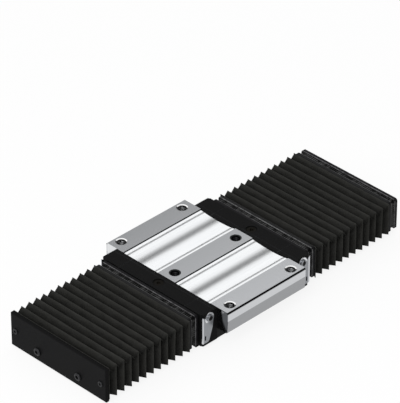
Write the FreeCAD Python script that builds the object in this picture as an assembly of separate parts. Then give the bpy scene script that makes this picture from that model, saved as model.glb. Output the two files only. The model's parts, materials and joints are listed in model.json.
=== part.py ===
import FreeCAD
import Part
import math
import os

# A wide rail carriage with a folded bellows at each end.
# X runs along the rail, Y across it and Z up. The origin is the middle of the carriage's top face.
# Lengths are in millimetres, and a drop is a distance down from the top face.
# Both ends are built alike, so an end piece is made for the +X end and turned about Z for the -X end.

# Rail that the carriage runs on, which isn't part of the object
rail_width = 69.0
rail_top_drop = 11.5
rail_clearance = 0.6
seal_clearance = 0.1

# Steel block: a leg each side of the rail, and a flange beyond each leg
block_length = 76.5
leg_thickness = 14.0
body_width = rail_width + 2 * leg_thickness
body_depth = 28.6
body_foot_bevel = 0.8
foot_side_step = 5.0
foot_step = 0.6
foot_width = body_width - 2 * foot_side_step
body_side_drop = body_depth - foot_step
flange_width = 120.0
flange_thickness = 17.5
flange_edge_bevel = 0.8
datum_band = 7.15
flange_side_taper = 0.5

# Shallow polished channels along the block's top, with sloped sides
channel_inner_edge = 8.5
channel_outer_edge = 43.0
channel_step = 0.65
channel_dip = 0.6

# Table bolts: a rectangle in the flanges and a row of two in the middle
bolt_spacing_along = 60.0
bolt_edge_distance = 6.5
bolt_spacing_across = flange_width - 2 * bolt_edge_distance
bolt_hole_radius = 3.4
bolt_mouth_radius = 4.35
bolt_mouth_depth = 0.46
middle_bolt_depth = 8.0

# Balls: each loop has a load run beside the rail and a return run inside the leg. The runs' depths
# are for legs that reach run_leg_reach below the rail's top, and longer or shorter legs share alike
ball_radius = 2.38
ball_gap = 0.1
ball_offset = 0.9
run_leg_reach = 17.1
load_run_depths = (4.9, 11.1)
return_run_depths = (1.3, 13.1)
return_run_inset = 6.5
load_groove_clearance = 0.05
return_bore_clearance = 0.2
retainer_thickness = 1.4
retainer_margin = 1.6
retainer_slot_clearance = 0.07

# End caps
cap_length = 14.5
cap_side_step = 1.0
cap_width = body_width + 2 * cap_side_step
cap_top_drop = 0.2
cap_foot_step = 3.25
cap_corner_along = 1.2
cap_corner_across = 2.0
cap_seam_width = 0.3
cap_seam_depth = 0.25
cap_seam_offset = 32.5
cap_cross_seam = 2.8

# Lubrication port in the middle of each cap's top
port_radius = 4.2
port_depth = 3.6
port_offset = 7.5
plug_radius = 3.7
plug_sink = 0.5
plug_bore_radius = 2.1
plug_socket_radius = 1.6
plug_socket_depth = 1.4

# End seals, in a pocket in each cap's front face
seal_thickness = 2.0
seal_wall = 1.1
seal_top_wall = 1.6
seal_foot_wall = 1.2
seal_pocket_clearance = 0.1
seal_lip_radius = 2.2

# Side seals, under the block's two legs, with the caps' feet a little lower
side_seal_thickness = 1.0
side_seal_wall = 1.2
side_seal_lift = 0.15
cap_foot_drop = body_depth + side_seal_thickness + side_seal_lift
cap_side_drop = cap_foot_drop - cap_foot_step

# Screws that hold each cap to the block
cap_screw_lift = 5.0
cap_screw_offsets = (16.0, 33.0)
cap_screw_radius = 1.95
cap_screw_head_radius = 3.2
cap_screw_head_height = 3.4
cap_screw_grip = 9.0
screw_hole_clearance = 0.1

# Side brackets, flat on the caps' sides
bracket_thickness = 0.6
bracket_overhang = 0.25
bracket_ear_radius = 4.1
bracket_screw_inset = 6.9
bracket_screw_drop = 4.6
bracket_outer_drop = 1.9
bracket_notch_inset = 2.85
bracket_notch_drop = 3.9
bracket_waist_inset = 9.7
bracket_waist_drop = 14.0
bracket_toe_inset = 6.6
bracket_foot_drop = 24.1
bracket_foot_round = 1.1
bracket_slot_inset = 2.9
bracket_slot_width = 1.2
bracket_slot_drops = (18.2, 21.9)
bracket_screw_radius = 1.45
bracket_screw_length = 3.6
bracket_screw_head_radius = 2.8
bracket_screw_head_height = 1.2
driver_slot_width = 0.8
driver_slot_depth = 0.6

# Mounting plates between the caps and the bellows, and beyond the far bellows
mount_inset = 2.2
mount_width = body_width - 2 * mount_inset
mount_thickness = 3.25
mount_top_drop = 0.75
mount_foot_drop = 25.2
mount_corner_radius = 2.2
mount_bevel = 0.4

# Screws that hold a mounting plate, its heads sunk in it
mount_screw_lift = 4.9
mount_screw_top_offset = 24.5
mount_screw_leg_inset = 5.7
mount_screw_leg_drop = 20.6
mount_screw_radius = 1.45
mount_screw_head_radius = 2.6
mount_screw_head_height = 2.2
mount_screw_reach = 7.65
outer_hole_clearance = 0.3
hex_socket_share = 0.5
hex_socket_floor = 1.0

# Bellows frames, with a neck that stands on the mounting plate
frame_proud = 0.2
frame_width = mount_width + 2 * frame_proud
frame_thickness = 3.2
frame_top_rise = 0.1
frame_top_drop = mount_top_drop - frame_top_rise
frame_foot_drop = mount_foot_drop + frame_proud
frame_corner_radius = 2.4
frame_bevel = 0.4
neck_length = 3.15
neck_inset = 2.6
pin_top_offsets = (10.0, 34.0)
pin_lift = 3.9
pin_leg_inset = 5.5
pin_leg_drop = 12.0
pin_radius = 1.4
pin_sink = 2.4
pin_clearance = 0.05

# Folded cloth
fold_count = 11
fold_pitch = 6.88
fold_depth = 6.2
peak_proud = 0.8
peak_width = frame_width + 2 * peak_proud
peak_top_drop = frame_top_drop
cloth_overhang = 1.4
cloth_foot_drop = frame_foot_drop + cloth_overhang
cloth_corner_radius = 1.8
cloth_wall = 1.2
cloth_clearance = 0.3

# Near end plate, which closes the bellows and is screwed to the rail's end
end_plate_thickness = 3.0
end_plate_proud = 0.5
end_plate_width = frame_width + 2 * end_plate_proud
end_plate_top_gap = 0.35
end_plate_top_drop = frame_top_drop + end_plate_top_gap
end_plate_foot_gap = 1.2
end_plate_foot_drop = cloth_foot_drop + end_plate_foot_gap
end_plate_round = 0.8
button_round_share = 0.6
button_floor_share = 0.3
rail_screw_spacing = 40.0
rail_screw_drop = 20.15
rail_screw_radius = 2.0
rail_screw_head_radius = 3.0
rail_screw_head_height = 1.4
rail_screw_reach = 8.0
thread_share = 0.875
back_frame_thickness = 1.2
back_frame_margin = 0.5
frame_screw_inset = 4.95
frame_screw_spacing = end_plate_width - 2 * frame_screw_inset
frame_screw_drop = 14.5
frame_screw_radius = 1.0
frame_screw_head_radius = 2.2
frame_screw_head_height = 0.9

# Places that follow from the sizes above
block_end = block_length / 2
cap_front = block_end + cap_length
mount_front = cap_front + mount_thickness
frame_back = mount_front + neck_length
frame_front = frame_back + frame_thickness
cloth_length = fold_count * fold_pitch
cloth_end = frame_front + cloth_length
plate_back = cloth_end + cloth_clearance
passage_half = rail_width / 2 + rail_clearance
passage_top = rail_top_drop - rail_clearance
ball_row = rail_width / 2 + ball_offset
run_share = (body_depth - rail_top_drop) / run_leg_reach
load_run_drops = tuple(rail_top_drop + run_share * depth for depth in load_run_depths)
return_run_drops = tuple(rail_top_drop + run_share * depth for depth in return_run_depths)
return_run_offset = body_width / 2 - return_run_inset
leg_inner = passage_half + retainer_thickness
cap_screw_drop = passage_top - cap_screw_lift
cut_margin = 2.0
UP = FreeCAD.Vector(0, 0, 1)
ALONG = FreeCAD.Vector(1, 0, 0)


def point(x, y, z):
    return FreeCAD.Vector(x, y, z)


def box(x0, x1, y0, y1, z0, z1):
    return Part.makeBox(x1 - x0, y1 - y0, z1 - z0, point(x0, y0, z0))


def rod(radius, start, end):
    """A round bar from one point to another."""
    way = end - start
    return Part.makeCylinder(radius, way.Length, start, way)


def hex_prism(radius, start, end):
    """A hexagonal bar from one point to another."""
    way = end - start
    turn = FreeCAD.Rotation(UP, way)
    corners = []
    for i in range(7):
        angle = math.radians(60 * i)
        corners.append(start + turn.multVec(point(radius * math.cos(angle), radius * math.sin(angle), 0)))
    return Part.Face(Part.makePolygon(corners)).extrude(way)


def cut_all(shape, tools):
    """Cut the tools out one after another, since many of them cross each other."""
    for tool in tools:
        shape = shape.cut(tool)
    return shape


def turned(shape):
    """The same piece at the -X end."""
    other = shape.copy()
    other.rotate(point(0, 0, 0), UP, 180)
    return other


def arch_wire(x, half, top_drop, foot_drop, radius, inner_half, inner_drop, inner_radius=0.0):
    """The outline of an upside-down U across the rail, with rounded top corners."""
    def side(half_width, drop, round_radius):
        top = -drop
        foot = -foot_drop
        if round_radius <= 0:
            return [
                Part.LineSegment(point(x, -half_width, foot), point(x, -half_width, top)),
                Part.LineSegment(point(x, -half_width, top), point(x, half_width, top)),
                Part.LineSegment(point(x, half_width, top), point(x, half_width, foot)),
            ]
        bow = round_radius * (1 - math.sqrt(0.5))
        return [
            Part.LineSegment(point(x, -half_width, foot), point(x, -half_width, top - round_radius)),
            Part.Arc(
                point(x, -half_width, top - round_radius),
                point(x, -half_width + bow, top - bow),
                point(x, -half_width + round_radius, top),
            ),
            Part.LineSegment(
                point(x, -half_width + round_radius, top), point(x, half_width - round_radius, top)
            ),
            Part.Arc(
                point(x, half_width - round_radius, top),
                point(x, half_width - bow, top - bow),
                point(x, half_width, top - round_radius),
            ),
            Part.LineSegment(point(x, half_width, top - round_radius), point(x, half_width, foot)),
        ]

    outer = side(half, top_drop, radius)
    inner = side(inner_half, inner_drop, inner_radius)
    foot = -foot_drop
    edges = [curve.toShape() for curve in outer]
    edges.append(Part.LineSegment(point(x, half, foot), point(x, inner_half, foot)).toShape())
    edges += [curve.toShape() for curve in reversed(inner)]
    edges.append(Part.LineSegment(point(x, -inner_half, foot), point(x, -half, foot)).toShape())
    return Part.Wire(Part.__sortEdges__(edges))


def arch(x0, x1, half, top_drop, foot_drop, radius, inner_half, inner_drop):
    """A plate with the shape of an upside-down U, from x0 to x1."""
    wire = arch_wire(x0, half, top_drop, foot_drop, radius, inner_half, inner_drop)
    return Part.Face(wire).extrude(point(x1 - x0, 0, 0))


def bevel_outline(shape, size, half, top_drop, foot_drop):
    """Bevel the edges of an arch's two faces that lie on its outer outline, not on its feet."""
    chosen = []
    low = shape.BoundBox.XMin
    high = shape.BoundBox.XMax
    for edge in shape.Edges:
        area = edge.BoundBox
        flat = area.XLength < 0.01 and (abs(area.XMin - low) < 0.01 or abs(area.XMin - high) < 0.01)
        at_side = max(abs(area.YMin), abs(area.YMax)) > half - 0.01
        at_top = area.ZMax > -top_drop - 0.01
        on_foot = area.ZMax < -foot_drop + 0.01
        if flat and (at_side or at_top) and not on_foot:
            chosen.append(edge)
    return shape.makeChamfer(size, chosen)


def loop_lines(load_drop, return_drop, side):
    """Where a loop's load run and return run cross the plane x = 0."""
    return point(0, side * ball_row, -load_drop), point(0, side * return_run_offset, -return_drop)


def ball_turn(load_drop, return_drop, side):
    """The half-round passage in the +X cap that leads the balls from the load run to the return run."""
    load, back = loop_lines(load_drop, return_drop, side)
    mouth = Part.makeCircle(ball_radius + return_bore_clearance, load + ALONG * block_end, ALONG)
    middle = (load + back) * 0.5 + ALONG * block_end
    return Part.Face(Part.Wire(mouth)).revolve(middle, ALONG.cross(back - load), 180)


def block_profile():
    """Half of the block's section, on the +Y side, without the grooves."""
    half = flange_width / 2
    body_half = body_width / 2
    foot_half = foot_width / 2
    near = channel_inner_edge + channel_step
    far = channel_outer_edge - channel_step
    floor = -channel_step
    lowest = point(0, (near + far) / 2, -channel_step - channel_dip)
    path = [
        Part.LineSegment(point(0, 0, 0), point(0, channel_inner_edge, 0)),
        Part.LineSegment(point(0, channel_inner_edge, 0), point(0, near, floor)),
        Part.Arc(point(0, near, floor), lowest, point(0, far, floor)),
        Part.LineSegment(point(0, far, floor), point(0, channel_outer_edge, 0)),
    ]
    corners = [
        (channel_outer_edge, 0),
        (half - flange_edge_bevel, 0),
        (half, -flange_edge_bevel),
        (half, -datum_band),
        (half - flange_side_taper, -flange_thickness + body_foot_bevel),
        (half - flange_side_taper - body_foot_bevel, -flange_thickness),
        (body_half, -flange_thickness),
        (body_half, -body_side_drop + body_foot_bevel),
        (body_half - body_foot_bevel, -body_side_drop),
        (foot_half, -body_side_drop),
        (foot_half, -body_depth),
        (leg_inner, -body_depth),
        (leg_inner, -passage_top),
        (0, -passage_top),
        (0, 0),
    ]
    for (y0, z0), (y1, z1) in zip(corners, corners[1:]):
        path.append(Part.LineSegment(point(0, y0, z0), point(0, y1, z1)))
    return Part.Face(Part.Wire([curve.toShape() for curve in path]))


def steel_block():
    half_block = block_profile().extrude(point(block_length, 0, 0))
    half_block.translate(point(-block_end, 0, 0))
    block = half_block.fuse(half_block.mirror(point(0, 0, 0), point(0, 1, 0))).removeSplitter()
    tools = []
    for along in (-1, 1):
        x = along * bolt_spacing_along / 2
        for across in (-1, 0, 1):
            y = across * bolt_spacing_across / 2
            depth = flange_thickness + cut_margin if across else middle_bolt_depth
            tools.append(rod(bolt_hole_radius, point(x, y, 0), point(x, y, -depth)))
            mouth = point(x, y, 0)
            tools.append(Part.makeCone(bolt_mouth_radius, bolt_hole_radius, bolt_mouth_depth, mouth, -UP))
            if across:
                foot = point(x, y, -flange_thickness)
                tools.append(Part.makeCone(bolt_mouth_radius, bolt_hole_radius, bolt_mouth_depth, foot, UP))
        for side in (-1, 1):
            for offset in cap_screw_offsets:
                deep = block_end - cap_screw_grip - cut_margin
                start = point(along * deep, side * offset, -cap_screw_drop)
                end = point(along * block_end, side * offset, -cap_screw_drop)
                tools.append(rod(cap_screw_radius + screw_hole_clearance, start, end))
    for side in (-1, 1):
        for load_drop, return_drop in zip(load_run_drops, return_run_drops):
            for offset, drop, radius in (
                (ball_row, load_drop, ball_radius + load_groove_clearance),
                (return_run_offset, return_drop, ball_radius + return_bore_clearance),
            ):
                start = point(-block_end, side * offset, -drop)
                tools.append(rod(radius, start, start + ALONG * block_length))
    return cut_all(block, tools)


def ball_loop(load_drop, return_drop, side):
    """The balls of one loop, evenly spaced along two straight runs and two half turns."""
    load, back = loop_lines(load_drop, return_drop, side)
    middle = (load + back) * 0.5
    across = back - load
    turn_radius = across.Length / 2
    across.normalize()
    half_turn = math.pi * turn_radius
    length = 2 * block_length + 2 * half_turn
    pitch = 2 * turn_radius * math.asin((2 * ball_radius + ball_gap) / (2 * turn_radius))
    count = int(length // pitch)
    balls = []
    for i in range(count):
        way = length * i / count
        if way < block_length:
            spot = middle - across * turn_radius + ALONG * (way - block_end)
        elif way < block_length + half_turn:
            angle = (way - block_length) / turn_radius
            spot = middle + ALONG * (block_end + turn_radius * math.sin(angle))
            spot = spot - across * (turn_radius * math.cos(angle))
        elif way < 2 * block_length + half_turn:
            spot = middle + across * turn_radius + ALONG * (block_end - (way - block_length - half_turn))
        else:
            angle = (way - 2 * block_length - half_turn) / turn_radius
            spot = middle - ALONG * (block_end + turn_radius * math.sin(angle))
            spot = spot + across * (turn_radius * math.cos(angle))
        balls.append(Part.makeSphere(ball_radius, spot))
    return Part.makeCompound(balls)


def retainer_strips(side):
    """Strips against the leg's inner wall, above, between and below the load runs, that keep the balls in."""
    low = load_run_drops[1] + ball_radius + retainer_margin
    high = load_run_drops[0] - ball_radius - retainer_margin
    strip = box(-block_end, block_end, passage_half, leg_inner, -low, -high)
    tools = []
    for drop in load_run_drops:
        start = point(-block_end, ball_row, -drop)
        tools.append(rod(ball_radius + retainer_slot_clearance, start, start + ALONG * block_length))
    strip = strip.cut(tools)
    return strip if side > 0 else strip.mirror(point(0, 0, 0), point(0, 1, 0))


def cap_screw_places():
    return [(side * offset, cap_screw_drop) for side in (-1, 1) for offset in cap_screw_offsets]


def mount_screw_places():
    top_spot = (mount_screw_top_offset, passage_top - mount_screw_lift)
    leg_spot = (mount_width / 2 - mount_screw_leg_inset, mount_screw_leg_drop)
    return [(side * offset, drop) for side in (-1, 1) for offset, drop in (top_spot, leg_spot)]


def pin_places():
    spots = [(offset, passage_top - pin_lift) for offset in pin_top_offsets]
    spots.append((frame_width / 2 - pin_leg_inset, pin_leg_drop))
    return [(side * offset, drop) for side in (-1, 1) for offset, drop in spots]


def end_cap():
    """The +X end cap: ball turns inside, a seal pocket in front and a lubrication port on top."""
    half = cap_width / 2
    foot_half = foot_width / 2
    outline = [
        (block_end, -half),
        (cap_front - cap_corner_along, -half),
        (cap_front, -half + cap_corner_across),
        (cap_front, half - cap_corner_across),
        (cap_front - cap_corner_along, half),
        (block_end, half),
        (block_end, -half),
    ]
    upper = Part.Face(Part.makePolygon([point(x, y, -cap_side_drop) for x, y in outline]))
    cap = upper.extrude(UP * (cap_side_drop - cap_top_drop))
    cap = cap.fuse(box(block_end, cap_front, -foot_half, foot_half, -cap_foot_drop, -cap_top_drop))
    cap = cap.removeSplitter()
    back = block_end - cut_margin
    front = cap_front + cut_margin
    beyond = cap_foot_drop + cut_margin
    tools = [box(back, front, -passage_half, passage_half, -beyond, -passage_top)]
    tools.append(seal_plate(seal_pocket_clearance))
    for side in (-1, 1):
        for load_drop, return_drop in zip(load_run_drops, return_run_drops):
            tools.append(ball_turn(load_drop, return_drop, side))
        seam_y = side * cap_seam_offset
        seam_low = -cap_top_drop - cap_seam_depth
        seam_side = cap_seam_width / 2
        tools.append(
            box(block_end + cap_cross_seam, cap_front, seam_y - seam_side, seam_y + seam_side, seam_low, 0)
        )
        bracket_screw_x = cap_front + bracket_overhang - bracket_screw_inset
        bracket_hole = point(bracket_screw_x, side * half, -bracket_screw_drop)
        deep = point(0, side * (bracket_screw_length - bracket_thickness + screw_hole_clearance), 0)
        tools.append(rod(bracket_screw_radius + screw_hole_clearance, bracket_hole, bracket_hole - deep))
    seam_x = block_end + cap_cross_seam
    tools.append(box(seam_x, seam_x + cap_seam_width, -half, half, -cap_top_drop - cap_seam_depth, 0))
    port = point(block_end + port_offset, 0, 0)
    port_floor = cap_top_drop + port_depth
    tools.append(rod(plug_radius + screw_hole_clearance, port, port - UP * port_floor))
    tools.append(rod(port_radius, port, port - UP * (cap_top_drop + plug_sink)))
    tools.append(rod(plug_bore_radius, port, port - UP * (passage_top - cut_margin / 2)))
    for y, drop in cap_screw_places():
        start = point(block_end, y, -drop)
        front = point(cap_front, y, -drop)
        head = point(cap_front - seal_thickness - cap_screw_head_height - screw_hole_clearance, y, -drop)
        tools.append(rod(cap_screw_radius + screw_hole_clearance, start, front))
        tools.append(rod(cap_screw_head_radius + screw_hole_clearance, head, front))
    for y, drop in mount_screw_places():
        deep = mount_front - mount_screw_head_height - mount_screw_reach - screw_hole_clearance
        start = point(deep, y, -drop)
        tools.append(rod(mount_screw_radius + screw_hole_clearance, start, point(cap_front, y, -drop)))
    return cut_all(cap, tools)


def seal_plate(extra):
    """The seal's plate, larger all round by extra, which is also the form of its pocket."""
    half = foot_width / 2 - seal_wall + extra
    inner = rail_width / 2 + seal_clearance - extra
    return arch(
        cap_front - seal_thickness,
        cap_front,
        half,
        cap_top_drop + seal_top_wall - extra,
        cap_foot_drop - seal_foot_wall + extra,
        0,
        inner,
        rail_top_drop - seal_clearance + extra,
    )


def end_seal():
    seal = seal_plate(0)
    for side in (-1, 1):
        for drop in load_run_drops:
            start = point(cap_front - seal_thickness, side * ball_row, -drop)
            seal = seal.fuse(rod(seal_lip_radius, start, start + ALONG * seal_thickness))
    tools = []
    for y, drop in mount_screw_places():
        start = point(cap_front - seal_thickness - cut_margin, y, -drop)
        tools.append(rod(mount_screw_radius + screw_hole_clearance, start, point(cap_front, y, -drop)))
    return seal.removeSplitter().cut(tools)


def side_seal(side):
    """A strip with a lip that nearly reaches the rail's side, under one leg of the block."""
    outer = foot_width / 2 - side_seal_wall
    lip = rail_width / 2 + seal_clearance
    strip = box(-block_end, block_end, lip, outer, -body_depth - side_seal_thickness, -body_depth)
    return strip if side > 0 else strip.mirror(point(0, 0, 0), point(0, 1, 0))


def cap_screws():
    """The socket-head screws that hold the +X cap to the block."""
    screws = []
    for y, drop in cap_screw_places():
        face = point(cap_front - seal_thickness, y, -drop)
        under = face - ALONG * cap_screw_head_height
        tip = point(block_end - cap_screw_grip, y, -drop)
        head = rod(cap_screw_head_radius, under, face)
        socket = hex_prism(cap_screw_head_radius * hex_socket_share, under + ALONG * hex_socket_floor, face)
        screws.append(head.cut(socket).fuse(rod(cap_screw_radius, tip, under)))
    return Part.makeCompound(screws)


def mount_screws(front, direction=1):
    """Screws sunk in a mounting plate whose bellows side is at front; they reach the way they point."""
    screws = []
    for y, drop in mount_screw_places():
        face = point(front, y, -drop)
        under = face - ALONG * (direction * mount_screw_head_height)
        tip = under - ALONG * (direction * mount_screw_reach)
        head = rod(mount_screw_head_radius, under, face)
        floor = under + ALONG * (direction * hex_socket_floor)
        socket = hex_prism(mount_screw_head_radius * hex_socket_share, floor, face)
        screws.append(head.cut(socket).fuse(rod(mount_screw_radius, tip, under)))
    return Part.makeCompound(screws)


def lubrication_plug():
    middle = point(block_end + port_offset, 0, 0)
    top = middle - UP * (cap_top_drop + plug_sink)
    plug = rod(plug_radius, top, middle - UP * (cap_top_drop + port_depth))
    return plug.cut(hex_prism(plug_socket_radius, top - UP * plug_socket_depth, top))


def side_bracket(side):
    """A flat bracket on the +X cap's side: an ear round its screw, a waist and a rounded foot."""
    edge = cap_front + bracket_overhang
    screw_x = edge - bracket_screw_inset
    ear = bracket_ear_radius
    ear_back = point(screw_x - ear, 0, -bracket_screw_drop)
    lift = ear * math.sqrt(0.5)
    eighth = math.pi / 8
    ear_shoulder = point(screw_x + ear * math.sin(eighth), 0, -bracket_screw_drop + ear * math.cos(eighth))
    ear_top = point(screw_x, 0, -bracket_screw_drop + ear)
    ear_front = point(screw_x + lift, 0, -bracket_screw_drop + lift)
    ear_rise = point(screw_x - lift, 0, -bracket_screw_drop + lift)
    foot = -bracket_foot_drop
    corner = bracket_foot_round
    bow = corner * (1 - math.sqrt(0.5))
    notch = point(edge - bracket_notch_inset, 0, -bracket_notch_drop)
    waist = point(edge - bracket_waist_inset, 0, -bracket_waist_drop)
    toe = point(edge - bracket_toe_inset + corner, 0, foot)
    toe_back = point(edge - bracket_toe_inset, 0, foot + corner)
    lines = [
        Part.Arc(ear_back, ear_rise, ear_top),
        Part.Arc(ear_top, ear_shoulder, ear_front),
        Part.LineSegment(ear_front, notch),
        Part.LineSegment(notch, point(edge, 0, -bracket_outer_drop)),
        Part.LineSegment(point(edge, 0, -bracket_outer_drop), point(edge, 0, foot + corner)),
        Part.Arc(
            point(edge, 0, foot + corner), point(edge - bow, 0, foot + bow), point(edge - corner, 0, foot)
        ),
        Part.LineSegment(point(edge - corner, 0, foot), toe),
        Part.LineSegment(toe, toe_back),
        Part.LineSegment(toe_back, waist),
        Part.LineSegment(waist, ear_back),
    ]
    face = Part.Face(Part.Wire([line.toShape() for line in lines]))
    plate = face.extrude(point(0, bracket_thickness, 0))
    plate.translate(point(0, cap_width / 2, 0))
    slot_x = edge - bracket_slot_inset
    slot_half = bracket_slot_width / 2
    top, low = bracket_slot_drops
    beyond = cap_width / 2 + bracket_thickness + cut_margin
    screw_hole = point(screw_x, 0, -bracket_screw_drop)
    tools = [
        box(slot_x - slot_half, slot_x + slot_half, 0, beyond, -low, -top),
        rod(bracket_screw_radius + screw_hole_clearance, screw_hole, screw_hole + point(0, beyond, 0)),
    ]
    plate = plate.cut(tools)
    return plate if side > 0 else plate.mirror(point(0, 0, 0), point(0, 1, 0))


def bracket_screws():
    """The two slotted screws of the +X cap's brackets."""
    screws = []
    for side in (-1, 1):
        x = cap_front + bracket_overhang - bracket_screw_inset
        seat = point(x, side * (cap_width / 2 + bracket_thickness), -bracket_screw_drop)
        outward = point(0, side, 0)
        head = rod(bracket_screw_head_radius, seat, seat + outward * bracket_screw_head_height)
        shank = rod(bracket_screw_radius, seat - outward * bracket_screw_length, seat)
        slot = box(
            -driver_slot_width / 2,
            driver_slot_width / 2,
            -driver_slot_depth,
            driver_slot_depth,
            -bracket_screw_head_radius,
            bracket_screw_head_radius,
        )
        slot.translate(seat + outward * bracket_screw_head_height)
        screws.append(head.fuse(shank).cut(slot))
    return Part.makeCompound(screws)


def mount_plate(back, direction, hole_radius):
    """A mounting plate that stands on the plane x = back and reaches the way given."""
    front = back + direction * mount_thickness
    low = min(back, front)
    plate = arch(
        low,
        low + mount_thickness,
        mount_width / 2,
        mount_top_drop,
        mount_foot_drop,
        mount_corner_radius,
        passage_half,
        passage_top,
    )
    plate = bevel_outline(plate, mount_bevel, mount_width / 2, mount_top_drop, mount_foot_drop)
    tools = []
    for y, drop in mount_screw_places():
        start = point(back, y, -drop)
        face = point(front, y, -drop)
        seat = face - ALONG * (direction * mount_screw_head_height)
        tools.append(rod(hole_radius, start, face))
        tools.append(rod(mount_screw_head_radius + screw_hole_clearance, seat, face))
    for y, drop in pin_places():
        face = point(front, y, -drop)
        tools.append(rod(pin_radius + pin_clearance, face, face - ALONG * (direction * pin_sink)))
    return plate.cut(tools)


def bellows_frame(back, direction=1):
    """A bellows frame: its neck stands on the plane x = back, and its plate holds the cloth."""
    neck_end = back + direction * neck_length
    front = neck_end + direction * frame_thickness
    plate = arch(
        min(neck_end, front),
        max(neck_end, front),
        frame_width / 2,
        frame_top_drop,
        frame_foot_drop,
        frame_corner_radius,
        passage_half,
        passage_top,
    )
    plate = bevel_outline(plate, frame_bevel, frame_width / 2, frame_top_drop, frame_foot_drop)
    neck = arch(
        min(back, neck_end),
        max(back, neck_end),
        frame_width / 2 - neck_inset,
        frame_top_drop + neck_inset,
        frame_foot_drop - neck_inset / 2,
        frame_corner_radius - neck_inset / 2,
        passage_half,
        passage_top,
    )
    tools = []
    for y, drop in pin_places():
        tools.append(rod(pin_radius + pin_clearance, point(back, y, -drop), point(front, y, -drop)))
    return plate.fuse(neck).cut(tools)


def frame_pins(back, direction=1):
    """Pins through a frame and into the mounting plate behind it."""
    pins = []
    front = back + direction * (neck_length + frame_thickness)
    for y, drop in pin_places():
        start = point(back - direction * pin_sink, y, -drop)
        pins.append(rod(pin_radius, start, point(front, y, -drop)))
    return Part.makeCompound(pins)


def bellows_cloth():
    """The +X bellows: one strip of cloth, folded up and down between peak and valley outlines."""
    sections = []
    for i in range(2 * fold_count + 1):
        inward = fold_depth * (i % 2)
        half = peak_width / 2 - inward
        drop = peak_top_drop + inward
        sections.append(
            arch_wire(
                frame_front + i * fold_pitch / 2,
                half,
                drop,
                cloth_foot_drop,
                cloth_corner_radius,
                half - cloth_wall,
                drop + cloth_wall,
                cloth_corner_radius - cloth_wall,
            )
        )
    return Part.makeLoft(sections, True, True)


def back_frame():
    """The frame behind the end plate, inside the first fold, that the cloth's end is fixed to."""
    share = (back_frame_thickness + cloth_clearance) / (fold_pitch / 2)
    inward = cloth_wall + fold_depth * share + back_frame_margin
    frame = arch(
        plate_back - back_frame_thickness,
        plate_back,
        peak_width / 2 - inward,
        peak_top_drop + inward,
        cloth_foot_drop,
        0,
        passage_half,
        passage_top,
    )
    tools = []
    for side in (-1, 1):
        start = point(plate_back, side * frame_screw_spacing / 2, -frame_screw_drop)
        deep = ALONG * (back_frame_thickness + cut_margin)
        tools.append(rod(frame_screw_radius + screw_hole_clearance, start, start - deep))
    return frame.cut(tools)


def end_plate():
    half = end_plate_width / 2
    plate = box(
        plate_back,
        plate_back + end_plate_thickness,
        -half,
        half,
        -end_plate_foot_drop,
        -end_plate_top_drop,
    )
    front = plate_back + end_plate_thickness
    rounded = []
    for edge in plate.Edges:
        area = edge.BoundBox
        if area.XLength < 0.01 and abs(area.XMin - front) < 0.01:
            rounded.append(edge)
    plate = plate.makeFillet(end_plate_round, rounded)
    tools = []
    for side in (-1, 1):
        for spacing, drop, radius in (
            (rail_screw_spacing, rail_screw_drop, rail_screw_radius),
            (frame_screw_spacing, frame_screw_drop, frame_screw_radius),
        ):
            start = point(plate_back, side * spacing / 2, -drop)
            tools.append(rod(radius + screw_hole_clearance, start, start + ALONG * end_plate_thickness))
    return plate.cut(tools)


def plate_screws(spacing, drop, radius, head_radius, head_height, reach):
    """Two button-head screws in the end plate. Behind it each thread is a plain rod of its mean radius."""
    screws = []
    face = plate_back + end_plate_thickness
    for side in (-1, 1):
        seat = point(face, side * spacing / 2, -drop)
        crown = seat + ALONG * head_height
        head = rod(head_radius, seat, crown)
        rim = [edge for edge in head.Edges if abs(edge.BoundBox.XMax - crown.x) < 0.01 and edge.Closed]
        rim = [edge for edge in rim if edge.BoundBox.XLength < 0.01]
        head = head.makeFillet(head_height * button_round_share, rim)
        floor = seat + ALONG * (head_height * button_floor_share)
        socket = hex_prism(head_radius * hex_socket_share, floor, crown)
        root = point(plate_back, seat.y, seat.z)
        tip = root - ALONG * reach
        shank = rod(radius, root, seat).fuse(rod(radius * thread_share, tip, root))
        screws.append(head.cut(socket).fuse(shank))
    return Part.makeCompound(screws)


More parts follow.
